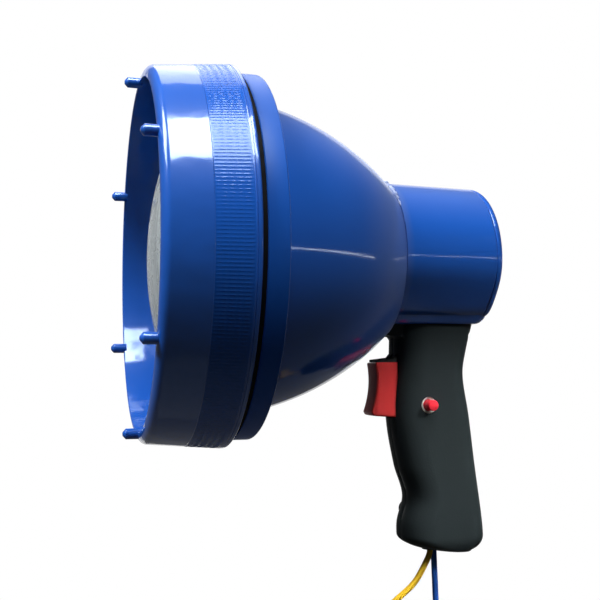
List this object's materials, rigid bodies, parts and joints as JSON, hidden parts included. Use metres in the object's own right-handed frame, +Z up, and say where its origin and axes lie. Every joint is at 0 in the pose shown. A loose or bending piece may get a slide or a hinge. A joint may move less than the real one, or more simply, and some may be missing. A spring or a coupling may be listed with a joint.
{
  "type": "spotlight",
  "caption": "Hand-held fishing spotlight with a pegged, ribbed focus ring, bell-shaped housing, pistol grip, trigger and lock button",
  "frame": {"origin": "Middle of the pistol grip, where the hand closes round it", "axes": "Light leaves along -X, +Z is up along the grip, +Y is the lamp's right side seen by its user"},
  "size_m": [0.1777, 0.1816, 0.3093],
  "materials": {
    "blue_abs": "glossy moulded ABS",
    "grip_nylon": "fine spark-eroded texture",
    "red_trigger": "semi-gloss",
    "red_button": "semi-gloss",
    "pale_plastic": "plain moulded",
    "frosted_lens": "hazed, streaked",
    "reflector_mirror": "vacuum metallised",
    "lamp_glass": "clear",
    "black_rubber": "matt",
    "black_nylon": "plain moulded",
    "steel": "zinc plated",
    "brass": "plain",
    "switch_plastic": "plain moulded",
    "ceramic": "unglazed steatite look",
    "yellow_pvc": "extruded wire insulation",
    "blue_pvc": "extruded wire insulation"
  },
  "bodies": {
    "housing": {"bell_housing": "blue_abs", "body_gasket": "black_rubber", "rear_barrel": "blue_abs", "rear_cap": "blue_abs", "lamp_bracket": "steel", "lamp_holder": "ceramic", "bulb_base": "brass", "bulb_glass": "lamp_glass", "grip_left": "grip_nylon", "grip_right": "grip_nylon", "grip_screws": "steel", "saddle_screws": "steel", "trigger_spring": "steel", "lock_collar": "pale_plastic", "lock_spring": "steel", "switch_body": "switch_plastic", "switch_terminals": "brass", "lamp_leads": "yellow_pvc", "switch_leads": "blue_pvc", "wire_grommet": "black_rubber", "yellow_lead": "yellow_pvc", "blue_lead": "blue_pvc", "yellow_coil": "yellow_pvc", "blue_coil": "blue_pvc", "lead_tie": "black_nylon", "lead_ends": "brass"},
    "lens_carriage": {"front_lens": "frosted_lens", "lens_gasket": "black_rubber", "reflector": "reflector_mirror"},
    "focus_ring": {"front_bezel": "blue_abs", "retaining_ring": "steel"},
    "trigger": {"trigger": "red_trigger", "trigger_stem": "steel"},
    "lock_button": {"lock_button": "red_button"}
  },
  "joints": [
    {"name": "focus_travel", "type": "slide", "parent": "housing", "child": "lens_carriage", "axis": [-1, 0, 0], "range_m": [0, 0.005]},
    {"name": "focus_turn", "type": "hinge", "parent": "lens_carriage", "child": "focus_ring", "pos_m": [-0.14755, 0, 0.095], "axis": [-1, 0, 0], "range_deg": [0, 360]},
    {"name": "trigger_pull", "type": "slide", "parent": "housing", "child": "trigger", "axis": [1, 0, 0], "range_m": [0, 0.006], "stiffness_N_per_m": 900, "springref_m": -0.003, "deforming": ["trigger_spring"]},
    {"name": "lock_press", "type": "slide", "parent": "housing", "child": "lock_button", "axis": [0, 1, 0], "range_m": [0, 0.0025], "stiffness_N_per_m": 600, "springref_m": -0.001, "deforming": ["lock_spring"]}
  ],
  "couplings": [
    {"joint": "focus_travel", "follows": "focus_turn", "m_per_rad": 0.00079577}
  ]
}
